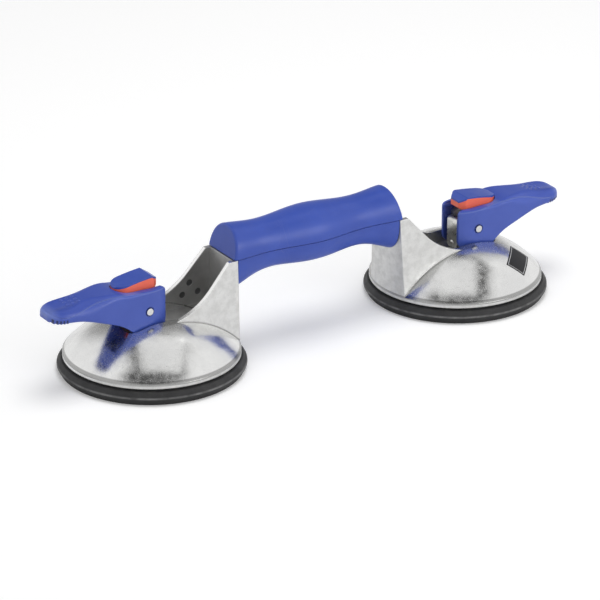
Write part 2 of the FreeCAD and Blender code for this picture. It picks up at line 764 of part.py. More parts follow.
def make_lower_shell():
    lowest = parting_height - grip_stations[-1][3]
    ends = block(-grip_half_length + 1.5, grip_half_length - 1.5, -40, 40, lowest, parting_height)
    heels = [edge for edge in ends.Edges
             if abs(edge.CenterOfMass.z - lowest) < 0.1 and abs(edge.CenterOfMass.x) > 1.0]
    shell = grip_solid(0.0, False).common(ends.makeFillet(grip_heel_round, heels))
    hollow = grip_solid(shell_wall, False)
    bosses = []
    for sign in (-1, 1):
        bosses.append(Part.makeCylinder(shell_boss_radius, 60, vec(sign * shell_screw_along, 0, bar_foot - 60)))
    hollow = hollow.cut(bosses)
    shell = shell.cut(hollow)
    shell = shell.cut(block(-grip_half_length, grip_half_length, -lug_half_width - 0.5, lug_half_width + 0.5,
                            bar_foot, parting_height + 1))
    seat = shell_bottom(shell_screw_along) + shell_wall
    for sign in (-1, 1):
        centre = vec(sign * foot_offset, 0, 0)
        shell = shell.cut(Part.makeCylinder(riser_radius + shell_clearance, 100, centre))
        axis = sign * shell_screw_along
        shell = shell.cut(Part.makeCylinder(shell_screw_radius + 0.2, 60, vec(axis, 0, 20)))
        shell = shell.cut(Part.makeCylinder(shell_screw_head_radius + 0.2, 60, vec(axis, 0, seat - 60)))
    return shell.removeSplitter()


def make_bar():
    """Flat bar that ties the two castings together inside the grip."""
    reach = foot_offset - riser_radius - bar_end_gap
    bar = block(-reach, reach, -lug_half_width, lug_half_width, bar_foot, bar_top)
    for sign in (-1, 1):
        for along in bar_screws_along:
            bar = bar.cut(Part.makeCylinder(bar_screw_radius + 0.15, 20, vec(sign * along, 0, bar_foot - 5)))
        bar = bar.cut(Part.makeCylinder(shell_screw_radius + 0.2, 20,
                                        vec(sign * shell_screw_along, 0, bar_foot - 5)))
    return bar


def make_bar_screws():
    screws = []
    for sign in (-1, 1):
        for along in bar_screws_along:
            foot = bar_foot - lug_height + 0.5
            shank = Part.makeCylinder(bar_screw_radius, bar_top - foot + 0.5, vec(sign * along, 0, foot))
            head = Part.makeCylinder(bar_screw_head_radius, bar_screw_head, vec(sign * along, 0, bar_top))
            screws.append(shank.fuse(head).removeSplitter())
    return Part.makeCompound(screws)


def make_shell_screws():
    screws = []
    seat = shell_bottom(shell_screw_along) + shell_wall
    for sign in (-1, 1):
        axis = sign * shell_screw_along
        head = Part.makeCylinder(shell_screw_head_radius, shell_screw_head,
                                 vec(axis, 0, seat - shell_screw_head))
        shank = Part.makeCylinder(shell_screw_radius, bar_top + shell_screw_depth - 1 - seat + 0.5,
                                  vec(axis, 0, seat - 0.5))
        screws.append(head.fuse(shank).removeSplitter())
    return Part.makeCompound(screws)


# ---------------------------------------------------------------- assembly
link_pin_half = lever_half_width - 2.6
button_pin_half = lever_half_width - 1.5


def lever_pin():
    return pin_across(pivot_along, pivot_height, lever_pin_radius, lever_half_width + lever_pin_stands_out)


def link_pin():
    return pin_across(link_along, link_height, link_pin_radius, link_pin_half)


def button_pin():
    return pin_across(button_pin_along, button_pin_height, button_pin_radius, button_pin_half)


foot_pieces = {
    "cup_housing": make_housing,
    "suction_pad": make_pad,
    "lever_pin": lever_pin,
    "pad_stud": make_stud,
    "stud_spring": make_stud_spring,
    "stirrup": make_stirrup,
    "stirrup_rivet": make_rivet,
    "lever": make_lever,
    "link_pin": link_pin,
    "button_cap": make_cap,
    "button_latch": make_latch,
    "button_pin": button_pin,
    "button_spring": make_button_spring,
}
grip_pieces = {
    "handle_upper_shell": make_upper_shell,
    "handle_lower_shell": make_lower_shell,
    "handle_bar": make_bar,
    "bar_screws": make_bar_screws,
    "shell_screws": make_shell_screws,
}


def place_foot(shape, side):
    """The right foot as modelled, the left one turned half round."""
    placed = shape.copy()
    if side == "left":
        placed.rotate(vec(0, 0, 0), vec(0, 0, 1), 180)
        placed.translate(vec(-foot_offset, 0, 0))
    else:
        placed.translate(vec(foot_offset, 0, 0))
    return placed


os.makedirs("parts", exist_ok=True)
for name, make in foot_pieces.items():
    piece = make()
    for side in ("left", "right"):
        place_foot(piece, side).exportStep("parts/" + side + "_" + name + ".step")
for name, make in grip_pieces.items():
    make().exportStep("parts/" + name + ".step")
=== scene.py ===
# %% [markdown]
# # A two-cup suction lifter, dressed for the camera
#
# This script gives those pieces their finishes and makes what a construction
# model leaves plain: the rubber pads, smooth coils, moulded dots and ribs, and a
# bare sticker.
#
# Lengths are metres.  Each foot is thought of in its own coordinates, with *out*
# pointing away from the grip, so one function serves both feet.

# %% Load the frame
import math

import bpy
import numpy as np
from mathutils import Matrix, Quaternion, Vector
from mathutils.bvhtree import BVHTree


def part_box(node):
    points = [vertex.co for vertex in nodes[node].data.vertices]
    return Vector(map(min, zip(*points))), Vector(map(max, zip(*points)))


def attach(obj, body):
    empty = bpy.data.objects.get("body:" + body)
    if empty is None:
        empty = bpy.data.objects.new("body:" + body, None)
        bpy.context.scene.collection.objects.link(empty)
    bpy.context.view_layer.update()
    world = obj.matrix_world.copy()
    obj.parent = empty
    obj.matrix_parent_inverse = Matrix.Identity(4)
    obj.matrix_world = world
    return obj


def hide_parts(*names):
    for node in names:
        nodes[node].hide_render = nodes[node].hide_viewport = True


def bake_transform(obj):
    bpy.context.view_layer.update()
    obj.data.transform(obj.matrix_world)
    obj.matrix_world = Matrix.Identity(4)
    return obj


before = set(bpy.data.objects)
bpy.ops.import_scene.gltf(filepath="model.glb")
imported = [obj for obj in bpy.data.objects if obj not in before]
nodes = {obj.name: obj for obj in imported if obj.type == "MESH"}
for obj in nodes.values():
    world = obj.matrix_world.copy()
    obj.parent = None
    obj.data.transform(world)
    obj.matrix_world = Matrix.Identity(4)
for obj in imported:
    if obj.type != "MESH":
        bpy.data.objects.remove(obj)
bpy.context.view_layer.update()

MM = 0.001
SIDES = {"left": -1.0, "right": 1.0}


# %% [markdown]
# ## Measuring the frame
#
# Everything that follows is placed from the frame.  The middle of each cup is the
# middle of its rubber pad's box.  What a box can't tell, such as the trough's
# width or the height of a lever's back, is felt out with a straight probe that
# stops at the first surface it meets.

# %% Probes and boxes
def middle_x(node):
    """Halfway between the lowest and the highest x of a node's box."""
    low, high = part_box(node)
    return (low[0] + high[0]) / 2


def feeler(node):
    """A search tree over the triangles of one node, to probe it with rays."""
    mesh = nodes[node].data
    points = [vertex.co.copy() for vertex in mesh.vertices]
    faces = [tuple(face.vertices) for face in mesh.polygons]
    return BVHTree.FromPolygons(points, faces)


def probe(tree, start, direction):
    """First point met from start along direction; None when nothing is met."""
    return tree.ray_cast(Vector(start), Vector(direction))[0]


cup_x = middle_x("right_suction_pad")
pad_low, pad_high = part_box("right_suction_pad")
rim_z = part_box("right_cup_housing")[0][2]
plate_low, plate_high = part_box("right_pad_stud")
tip_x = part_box("right_lever")[1][0]
print("cup at x =", round(cup_x, 4), "rim at z =", round(rim_z, 4), "lever tip at x =", round(tip_x, 4))

# %% [markdown]
# The dome is a ball's cap.  Any point of it satisfies
# x² + y² + z² = 2 c·z + (R² − c²) in the foot's own coordinates, which is linear
# in c and in the last bracket, so two least-squares numbers give its centre and
# radius.

# %% Find the dome, the trough and the floor of the trough
housing = feeler("right_cup_housing")
samples = []
for angle in np.linspace(-0.6, 0.6, 9):
    for radius in (0.032, 0.040, 0.048):
        out, across = radius * math.cos(angle), radius * math.sin(angle)
        samples.append(probe(housing, (cup_x + out, across, 0.2), (0, 0, -1)))
samples = np.array(samples) - np.array([cup_x, 0.0, 0.0])
squares = (samples ** 2).sum(axis=1)
system = np.stack([2 * samples[:, 2], np.ones(len(samples))], axis=1)
dome_centre, rest = np.linalg.lstsq(system, squares, rcond=None)[0]
dome_radius = math.sqrt(rest + dome_centre ** 2)

WALL_HEIGHTS = (0.032, 0.060)
SIDE_HEIGHTS = (0.030, 0.055)
trough_floor = probe(housing, (cup_x + 0.018, 0, 0.045), (0, 0, -1)).z
riser_face = probe(housing, (cup_x - 0.03, 0, 0.045), (-1, 0, 0)).x - cup_x
low_wall = probe(housing, (cup_x - 0.03, 0, WALL_HEIGHTS[0]), (0, 1, 0)).y
high_wall = probe(housing, (cup_x - 0.047, 0, WALL_HEIGHTS[1]), (0, 1, 0)).y
trough_lean = (low_wall - high_wall) / (WALL_HEIGHTS[1] - WALL_HEIGHTS[0])
low_side, high_side = [-probe(housing, (cup_x - 0.05, -0.1, z), (0, 1, 0)).y for z in SIDE_HEIGHTS]
side_lean = (low_side - high_side) / (SIDE_HEIGHTS[1] - SIDE_HEIGHTS[0])
print("dome radius", round(dome_radius, 5), "centre height", round(float(dome_centre), 5))
print("trough floor", round(trough_floor, 5), "half width", round(low_wall, 5), "lean", round(trough_lean, 4),
      "riser face", round(riser_face, 5), "riser half width", round(low_side, 5))


# %% [markdown]
# ## Small tools for shaders
#
# A finish is a network of nodes.  It could be drawn by hand in the shader editor,
# but written out it can be read, and one change reaches every finish.  Short
# helpers keep the wiring readable: one adds a node, one joins a number or another
# node's output to an input, some do arithmetic, and one starts a reusable group
# with named inputs and outputs.

# %% Node helpers
def add(tree, kind, **settings):
    """A new node with its settings."""
    node = tree.nodes.new(kind)
    for name, value in settings.items():
        setattr(node, name, value)
    return node


def feed(tree, socket, value):
    """Join an output to a socket, or write a plain value into it."""
    if isinstance(value, bpy.types.NodeSocket):
        tree.links.new(value, socket)
    elif hasattr(value, "__len__") and len(value) == 3 and socket.type == "RGBA":
        socket.default_value = (*value, 1.0)
    else:
        socket.default_value = value


def wire(tree, node, **inputs):
    """Feed a node's inputs by name, with underscores for spaces, and hand the node back."""
    for name, value in inputs.items():
        feed(tree, node.inputs[name.replace("_", " ")], value)
    return node


def calc(tree, operation, first, second=0.0, third=0.0):
    """One step of arithmetic."""
    node = add(tree, "ShaderNodeMath", operation=operation)
    for socket, value in zip(node.inputs, (first, second, third)):
        feed(tree, socket, value)
    return node.outputs[0]


def product(tree, first, *others):
    """All the values multiplied."""
    for other in others:
        first = calc(tree, "MULTIPLY", first, other)
    return first


def apart(tree, first, second):
    """How far two values are apart: |first − second|."""
    return calc(tree, "ABSOLUTE", calc(tree, "SUBTRACT", first, second))


def curve(tree, value, factors):
    """A polynomial of value, its factors given from the highest power down."""
    total = float(factors[0])
    for factor in factors[1:]:
        total = calc(tree, "MULTIPLY_ADD", value, total, float(factor))
    return total


def split(tree, vector):
    """The x, y and z of a vector, as three outputs."""
    node = add(tree, "ShaderNodeSeparateXYZ")
    feed(tree, node.inputs[0], vector)
    return tuple(node.outputs)


def length_of(tree, *coordinates):
    """Length of the arrow with these coordinates."""
    arrow = add(tree, "ShaderNodeCombineXYZ")
    for socket, value in zip(arrow.inputs, coordinates):
        feed(tree, socket, value)
    length = add(tree, "ShaderNodeVectorMath", operation="LENGTH")
    feed(tree, length.inputs[0], arrow.outputs[0])
    return length.outputs["Value"]


def ramp(tree, value, low, high, to_low=0.0, to_high=1.0):
    """Smooth step of value from low to high, onto the range to_low to to_high."""
    node = add(tree, "ShaderNodeMapRange", interpolation_type="SMOOTHSTEP")
    wire(tree, node, Value=value, From_Min=low, From_Max=high, To_Min=to_low, To_Max=to_high)
    return node.outputs["Result"]


def blend_value(tree, factor, first, second, kind="FLOAT"):
    """The first value where factor is 0, the second where it is 1."""
    node = add(tree, "ShaderNodeMix", data_type=kind)
    return wire(tree, node, Factor=factor, A=first, B=second).outputs["Result"]


def blend_color(tree, factor, first, second):
    """The same for two colours."""
    return blend_value(tree, factor, first, second, "RGBA")


def noise(tree, vector, scale, detail=2.0, roughness=0.5):
    """Cloudy value between 0 and 1."""
    node = add(tree, "ShaderNodeTexNoise")
    return wire(tree, node, Vector=vector, Scale=scale, Detail=detail, Roughness=roughness).outputs["Fac"]


def bump(tree, height, distance, normal, **settings):
    """The normal tilted by a height, on top of the relief that normal already has."""
    node = add(tree, "ShaderNodeBump", **settings)
    return wire(tree, node, Height=height, Distance=distance, Normal=normal).outputs["Normal"]


def start_group(name, inputs, outputs):
    """New node group; inputs and outputs are (name, socket type, default) rows."""
    tree = bpy.data.node_groups.new(name, "ShaderNodeTree")
    for label, kind, default in inputs:
        socket = tree.interface.new_socket(label, in_out="INPUT", socket_type=kind)
        if default is not None:
            socket.default_value = default
    for label, kind in outputs:
        tree.interface.new_socket(label, in_out="OUTPUT", socket_type=kind)
    return tree, add(tree, "NodeGroupInput"), add(tree, "NodeGroupOutput")


def use(tree, group, **inputs):
    """Place a group and feed its inputs."""
    return wire(tree, add(tree, "ShaderNodeGroup", node_tree=group), **inputs)


def bare_material(name):
    """A material with an empty node tree."""
    material = bpy.data.materials.new(name)
    material.use_nodes = True
    material.node_tree.nodes.clear()
    return material, material.node_tree


def new_material(name):
    """A material with its node tree, its Principled shader and its place on the object."""
    material, tree = bare_material(name)
    shader = add(tree, "ShaderNodeBsdfPrincipled")
    wire(tree, add(tree, "ShaderNodeOutputMaterial"), Surface=shader.outputs["BSDF"])
    return material, tree, shader, add(tree, "ShaderNodeTexCoord").outputs["Object"]


def dress(material, *names):
    """Put one material on whole nodes of the frame."""
    for name in names:
        mesh = nodes[name].data
        mesh.materials.clear()
        mesh.materials.append(material)


VECTOR = "NodeSocketVector"
FLOAT = "NodeSocketFloat"


# %% [markdown]
# ## Effects shared by the finishes
#
# **Relief** stacks what a real surface has and a computed one lacks: edges broken
# by tumbling or by the mould's own radius, slow waves from cooling or rubbing, and
# a fine grain.  It can also sink a shallow mark, such as a dish for the thumb.
#
# **Patches** is a cloudy value, for colour that isn't quite even.
#
# **Hairlines** are the thin scuffs a tool collects in a bag.  They are the cell
# borders of a stretched, bent cell pattern, kept only in some places.
#
# **Dust** lies where a surface looks up, in thin uneven clouds.
#
# **Specks** are small pits, round dots at random that come in a few sizes.

# %% Relief
relief, given, result = start_group(
    "relief",
    [("Vector", VECTOR, None), ("Edge Radius", FLOAT, 0.0004), ("Wave Scale", FLOAT, 60.0),
     ("Wave Height", FLOAT, 0.00004), ("Grain Scale", FLOAT, 1500.0), ("Grain Height", FLOAT, 0.00001),
     ("Mark", FLOAT, 0.0), ("Mark Depth", FLOAT, 0.0)],
    [("Normal", VECTOR)],
)
soft_edge = wire(relief, add(relief, "ShaderNodeBevel", samples=6), Radius=given.outputs["Edge Radius"])
waves = noise(relief, given.outputs["Vector"], given.outputs["Wave Scale"], 4.0, 0.55)
grains = noise(relief, given.outputs["Vector"], given.outputs["Grain Scale"], 3.0, 0.6)
wavy = bump(relief, waves, given.outputs["Wave Height"], soft_edge.outputs["Normal"])
grainy = bump(relief, grains, given.outputs["Grain Height"], wavy)
sunk = bump(relief, given.outputs["Mark"], given.outputs["Mark Depth"], grainy, invert=True)
wire(relief, result, Normal=sunk)

# %% Patches
patches, given, result = start_group(
    "patches",
    [("Vector", VECTOR, None), ("Scale", FLOAT, 40.0), ("Low", FLOAT, 0.0), ("High", FLOAT, 1.0)],
    [("Value", FLOAT)],
)
cloud = noise(patches, given.outputs["Vector"], given.outputs["Scale"], 4.0, 0.55)
wire(patches, result, Value=ramp(patches, cloud, 0.3, 0.7, given.outputs["Low"], given.outputs["High"]))

# %% Hairlines
hairlines, given, result = start_group(
    "hairlines",
    [("Vector", VECTOR, None), ("Scale", FLOAT, 90.0), ("Width", FLOAT, 0.02), ("Amount", FLOAT, 0.5)],
    [("Mask", FLOAT)],
)
marks = []
for tilt, stretch in ((0.5, 0.10), (-0.9, 0.14)):
    slanted = wire(hairlines, add(hairlines, "ShaderNodeMapping"), Vector=given.outputs["Vector"],
                   Rotation=(tilt, 0.3 * tilt, tilt), Scale=(1.0, stretch, 1.0))
    cells = add(hairlines, "ShaderNodeTexVoronoi", feature="DISTANCE_TO_EDGE")
    wire(hairlines, cells, Vector=slanted.outputs[0], Scale=given.outputs["Scale"])
    marks.append(ramp(hairlines, cells.outputs["Distance"], 0.0, given.outputs["Width"], 1.0, 0.0))
both = calc(hairlines, "MAXIMUM", marks[0], marks[1])
kept = ramp(hairlines, noise(hairlines, given.outputs["Vector"], 55.0, 2.0), 0.52, 0.66)
wire(hairlines, result, Mask=product(hairlines, both, kept, given.outputs["Amount"]))

# %% Dust
dust, given, result = start_group(
    "dust", [("Vector", VECTOR, None), ("Amount", FLOAT, 0.1)], [("Mask", FLOAT)])
looks_up = split(dust, add(dust, "ShaderNodeNewGeometry").outputs["Normal"])[2]
lying = ramp(dust, looks_up, 0.2, 1.0)
settled = ramp(dust, noise(dust, given.outputs["Vector"], 130.0, 6.0, 0.7), 0.40, 0.75)
wire(dust, result, Mask=product(dust, lying, settled, given.outputs["Amount"]))

# %% Specks
specks, given, result = start_group(
    "specks",
    [("Vector", VECTOR, None), ("Scale", FLOAT, 900.0), ("Coverage", FLOAT, 0.3)],
    [("Mask", FLOAT)],
)
cells = wire(specks, add(specks, "ShaderNodeTexVoronoi"), Vector=given.outputs["Vector"],
             Scale=given.outputs["Scale"])
size = product(specks, noise(specks, given.outputs["Vector"], 260.0, 2.0), given.outputs["Coverage"])
edge = calc(specks, "SUBTRACT", cells.outputs["Distance"], size)
wire(specks, result, Mask=ramp(specks, edge, -0.08, 0.04, 1.0, 0.0))
print("effects:", [group.name for group in bpy.data.node_groups])


# %% [markdown]
# ## Moulded plastic
#
# The grip, the levers and the button caps are one satin blue; the latch under
# each cap is a warm red.  Both come out of an etched mould: a faint grain, slow
# sink waves, a soft radius on every edge.  Handling adds paler scuffs, slightly
# rougher than the rest, and a little dust.

# %% Plastic
def moulded_plastic(name, color, shade, roughness, edge=0.0006):
    """Satin plastic whose colour drifts between color and shade.  Returns the material and the
    output, socket and node that a finish with more on it goes on from."""
    material, tree, shader, place = new_material(name)
    drift = use(tree, patches, Vector=place, Scale=34.0).outputs["Value"]
    body = blend_color(tree, drift, color, shade)
    scuffs = use(tree, hairlines, Vector=place, Scale=70.0, Width=0.010, Amount=0.10).outputs["Mask"]
    pale = tuple(0.55 * channel + 0.22 for channel in color)
    scuffed = blend_color(tree, scuffs, body, pale)
    dusty = use(tree, dust, Vector=place, Amount=0.02).outputs["Mask"]
    uneven = use(tree, patches, Vector=place, Scale=75.0, Low=roughness - 0.05, High=roughness + 0.06)
    surface = use(tree, relief, Vector=place, Edge_Radius=edge, Wave_Scale=45.0, Wave_Height=0.00004,
                  Grain_Scale=2300.0, Grain_Height=0.000016)
    wire(tree, shader, Specular_IOR_Level=0.50, Normal=surface.outputs["Normal"],
         Base_Color=blend_color(tree, dusty, scuffed, (0.50, 0.50, 0.50)),
         Roughness=calc(tree, "ADD", uneven.outputs["Value"], product(tree, scuffs, 0.5)))
    return material, tree, shader, place, surface


blue = moulded_plastic("blue_plastic", (0.037, 0.085, 0.445), (0.031, 0.073, 0.40), 0.34)[0]
bump_blue = moulded_plastic("bump_blue_plastic", (0.066, 0.112, 0.475), (0.056, 0.097, 0.43), 0.34, 0.0001)[0]
red = moulded_plastic("red_plastic", (0.98, 0.180, 0.105), (0.92, 0.150, 0.082), 0.34)[0]
print("plastics:", blue.name, bump_blue.name, red.name)

# %% [markdown]
# The lever is more than a plain moulding.  Its two cheeks end upwards in a crease
# that climbs to the lever's middle and falls to its tip; the back between the
# creases lies a little lower, carries a shallow dish for the thumb, and is painted
# darker as shade on the lever's top.  A pale line along the crease and a pale
# patch on the tip's top are painted highlights.  Under the tip's rim the slots
# between the ribs are painted dark as shade.  All of it is read from where a
# point lies, along the lever and above the tile: the crease and the keel under the
# tip are curves through a few measured points, and a point is compared with the
# curve at its own place.

# %% The lines a lever's finish follows
CREASE_UNIT = 0.04
crease_points = np.array([(4, 56.9), (12, 57.7), (20, 58.2), (26, 58.7), (33, 59.4), (40, 59.1), (46, 58.0),
                          (50, 56.7), (57, 54.9), (65, 53.7), (72, 54.3)]) * MM
crease_along, crease_z = crease_points[:, 0] / CREASE_UNIT, crease_points[:, 1]
crease_curve = np.polyfit(crease_along, crease_z, 5)
crease_error = np.abs(np.polyval(crease_curve, crease_along) - crease_z).max()

KEEL_UNIT = 0.01
right_lever = feeler("right_lever")
keel_places = np.linspace(0.5, 13, 9) * MM
keel_heights = [probe(right_lever, (tip_x - place, 0, 0), (0, 0, 1)).z for place in keel_places]
keel_curve = np.polyfit(keel_places / KEEL_UNIT, keel_heights, 3)

THUMB_PLACE = 12 * MM
DISH_HALF_LENGTH, DISH_HALF_WIDTH = 12.5 * MM, 9.5 * MM
thumb_rest_z = probe(right_lever, (tip_x - THUMB_PLACE, 0, 0.1), (0, 0, -1)).z
RIB_PITCH = 2.0 * MM
RIB_START = 0.8 * MM
RIB_COUNT = 6
print("thumb rest at z =", round(thumb_rest_z, 5), "crease fits within", round(float(crease_error), 5))

# %% Lever finish
lever_blue, tree, shader, place, surface = moulded_plastic(
    "lever_blue_plastic", (0.060, 0.108, 0.480), (0.050, 0.093, 0.435), 0.34)
x, y, z = split(tree, place)
distance_out = calc(tree, "ABSOLUTE", x)
from_tip = calc(tree, "SUBTRACT", tip_x, distance_out)

along = calc(tree, "DIVIDE", calc(tree, "SUBTRACT", distance_out, cup_x), CREASE_UNIT)
above_crease = calc(tree, "SUBTRACT", z, curve(tree, along, crease_curve))
on_back = ramp(tree, above_crease, -0.00025, 0.00025)
# painted highlight: a pale line painted along the crease, fading out near the tip
crease_highlight = product(tree, ramp(tree, calc(tree, "ABSOLUTE", above_crease), 0.0001, 0.0006, 1.0, 0.0),
                 ramp(tree, distance_out, tip_x - 0.012, tip_x - 0.004, 0.32, 0.0))

dish_along = calc(tree, "DIVIDE", calc(tree, "SUBTRACT", from_tip, THUMB_PLACE), DISH_HALF_LENGTH)
dish_across = calc(tree, "DIVIDE", y, DISH_HALF_WIDTH)
reach = calc(tree, "ADD", product(tree, dish_along, dish_along), product(tree, dish_across, dish_across))
dish = product(tree, ramp(tree, reach, 0.0, 1.1, 1.0, 0.0),
               calc(tree, "GREATER_THAN", z, thumb_rest_z - 0.004))

row = calc(tree, "DIVIDE", calc(tree, "SUBTRACT", from_tip, RIB_START), RIB_PITCH)
between_ribs = ramp(tree, apart(tree, calc(tree, "FRACT", row), 0.5), 0.20, 0.28, 1.0, 0.0)
keel = curve(tree, calc(tree, "DIVIDE", from_tip, KEEL_UNIT), keel_curve)
near_keel = ramp(tree, calc(tree, "SUBTRACT", z, keel), 0.0023, 0.0029, 1.0, 0.0)
slots = product(tree, between_ribs, near_keel, calc(tree, "GREATER_THAN", row, 0.0),
                calc(tree, "LESS_THAN", row, RIB_COUNT - 1.0))

plain = shader.inputs["Base Color"].links[0].from_socket
# painted shade: the back above the crease is darkened in colour
color = blend_color(tree, product(tree, on_back, 0.55), plain, (0.030, 0.068, 0.40))
# painted highlight: a pale patch painted on the tip's top
tip_highlight = product(tree, ramp(tree, from_tip, 0.0005, 0.0075, 0.45, 0.0),
                   ramp(tree, z, thumb_rest_z - 0.0070, thumb_rest_z - 0.0035))
color = blend_color(tree, calc(tree, "MAXIMUM", crease_highlight, tip_highlight), color, (0.24, 0.31, 0.68))
# painted shade: the slots between the ribs are darkened in colour
color = blend_color(tree, product(tree, slots, 0.85), color, (0.010, 0.016, 0.060))
wire(tree, shader, Base_Color=color)
sunk_depth = calc(tree, "ADD", dish, product(tree, on_back, 0.22))
wire(tree, surface, Mark=calc(tree, "ADD", sunk_depth, product(tree, slots, 0.5)), Mark_Depth=0.0016)
print("lever finish:", len(tree.nodes), "nodes")


# %% [markdown]
# ## Cast aluminium
#
# One casting shows four finishes, told apart by where a point lies:
#
# * the **dome** is rubbed bright, so it mirrors the studio a little blurred,
#   and is peppered with tiny pits;
# * the **riser's sides** are as cast and blasted, pale and sandy;
# * the **web edges** and other lands that don't face sideways are ground,
#   brighter than the sides;
# * the **trough** keeps the skin of the die, painted a darker grey as shade in
#   the recess, and has round ejector marks.
#
# The dome is every point whose distance from the ball's centre is its radius.
# The trough is every point inside its four leaning walls.  Splitting the mesh and
# giving each part its own material would show a hard border; masks don't, and the
# construction's mesh stays whole.  Painted shade darkens the dome where the riser
# and the rim meet it.

# %% Where each finish of the casting lies
cast, tree, shader, place = new_material("cast_aluminium")
x, y, height = split(tree, place)
out = calc(tree, "SUBTRACT", calc(tree, "ABSOLUTE", x), cup_x)
across = calc(tree, "ABSOLUTE", y)
side_facing = calc(tree, "ABSOLUTE", split(tree, add(tree, "ShaderNodeNewGeometry").outputs["Normal"])[1])

from_centre = length_of(tree, out, across, calc(tree, "SUBTRACT", height, float(dome_centre)))
dome = ramp(tree, apart(tree, from_centre, dome_radius), 0.0004, 0.0007, 1.0, 0.0)
off_dome = calc(tree, "SUBTRACT", 1.0, dome)

MARGIN = 0.4 * MM
wall_at_height = calc(tree, "MULTIPLY_ADD", height, -trough_lean,
                      low_wall + WALL_HEIGHTS[0] * trough_lean + MARGIN)
between_walls = calc(tree, "LESS_THAN", across, wall_at_height)
beyond_riser = calc(tree, "GREATER_THAN", out, riser_face - MARGIN)
above_floor = calc(tree, "GREATER_THAN", height, trough_floor - MARGIN)
trough = product(tree, between_walls, beyond_riser, above_floor, off_dome)
ground = product(tree, ramp(tree, side_facing, 0.25, 0.4, 1.0, 0.0),
                 calc(tree, "GREATER_THAN", out, riser_face + 0.0015), off_dome)

side_at_height = calc(tree, "MULTIPLY_ADD", height, -side_lean, low_side + SIDE_HEIGHTS[0] * side_lean)
from_side = calc(tree, "SUBTRACT", across, side_at_height)
# painted shade: the dome is darkened beside the riser and at its foot by the rim
beside_riser = product(tree, ramp(tree, from_side, 0.0003, 0.0022, 0.55, 0.0),
                       calc(tree, "LESS_THAN", out, 0.004))
dome_foot = ramp(tree, height, 0.0138, 0.0145, 0.65, 0.0)
crevice_shade = calc(tree, "MAXIMUM", beside_riser, dome_foot)

ejector_marks = 0.0
for mark_out, mark_height in ((-0.0315, 0.036), (-0.0430, 0.036), (-0.0365, 0.0435)):
    reach = length_of(tree, calc(tree, "SUBTRACT", out, mark_out),
                      calc(tree, "SUBTRACT", height, mark_height))
    ejector_marks = calc(tree, "ADD", ramp(tree, reach, 0.0019, 0.0024, 1.0, 0.0), ejector_marks)
ejector_marks = product(tree, ejector_marks, product(tree, trough, ramp(tree, side_facing, 0.6, 0.8)))
print("casting's places:", len(tree.nodes), "nodes")

# %% Colour, gloss and relief of the casting
pits = use(tree, specks, Vector=place, Scale=620.0, Coverage=0.42).outputs["Mask"]
fine_pits = use(tree, specks, Vector=place, Scale=1300.0, Coverage=0.55).outputs["Mask"]
clouds = use(tree, patches, Vector=place, Scale=48.0).outputs["Value"]
fine_clouds = use(tree, patches, Vector=place, Scale=210.0).outputs["Value"]
scratches = use(tree, hairlines, Vector=place, Scale=60.0, Width=0.006, Amount=0.4).outputs["Mask"]

dome_color = blend_color(tree, clouds, (0.80, 0.80, 0.79), (0.72, 0.72, 0.715))
dome_color = blend_color(tree, product(tree, pits, 0.12), dome_color, (0.40, 0.40, 0.39))
dome_color = blend_color(tree, product(tree, fine_pits, 0.08), dome_color, (0.45, 0.45, 0.44))
dome_color = blend_color(tree, crevice_shade, dome_color, (0.16, 0.16, 0.155))
riser_color = blend_color(tree, fine_clouds, (0.69, 0.69, 0.68), (0.59, 0.59, 0.58))
riser_color = blend_color(tree, product(tree, pits, 0.3), riser_color, (0.46, 0.46, 0.45))
# painted shade: the trough's grey is darker than the riser's, for the recess
skin_with_painted_shade = blend_color(tree, clouds, (0.58, 0.58, 0.57), (0.42, 0.42, 0.415))
skin_with_painted_shade = blend_color(tree, ejector_marks, skin_with_painted_shade, (0.16, 0.16, 0.16))
color = blend_color(tree, ground, riser_color, (0.88, 0.88, 0.87))
color = blend_color(tree, dome, color, dome_color)
color = blend_color(tree, trough, color, skin_with_painted_shade)

dome_gloss = blend_value(tree, fine_clouds, 0.16, 0.24)
dome_gloss = calc(tree, "ADD", dome_gloss, product(tree, scratches, 0.2))
dome_gloss = calc(tree, "ADD", dome_gloss, product(tree, fine_pits, 0.10))
gloss = blend_value(tree, ground, blend_value(tree, fine_clouds, 0.40, 0.50), 0.26)
gloss = blend_value(tree, dome, gloss, dome_gloss)
gloss = blend_value(tree, trough, gloss, 0.52)

surface = use(tree, relief, Vector=place, Edge_Radius=0.0007, Wave_Scale=38.0,
              Wave_Height=blend_value(tree, dome, 0.00010, 0.00014), Grain_Scale=1100.0,
              Grain_Height=calc(tree, "ADD", product(tree, off_dome, 0.00003), 0.000013),
              Mark=ejector_marks, Mark_Depth=0.0003)
wire(tree, shader, Base_Color=color, Roughness=gloss, Metallic=1.0, Normal=surface.outputs["Normal"])
print("casting's finish:", len(tree.nodes), "nodes")


# %% [markdown]
# ## Steel
#
# The stirrup, the stud and the tie bar are zinc plated, a little milky.  Pins are
# drawn and ground, so bright.  Spring wire is darker.  One recipe with three sets
# of values serves them all, since they differ only in colour, gloss and grain.

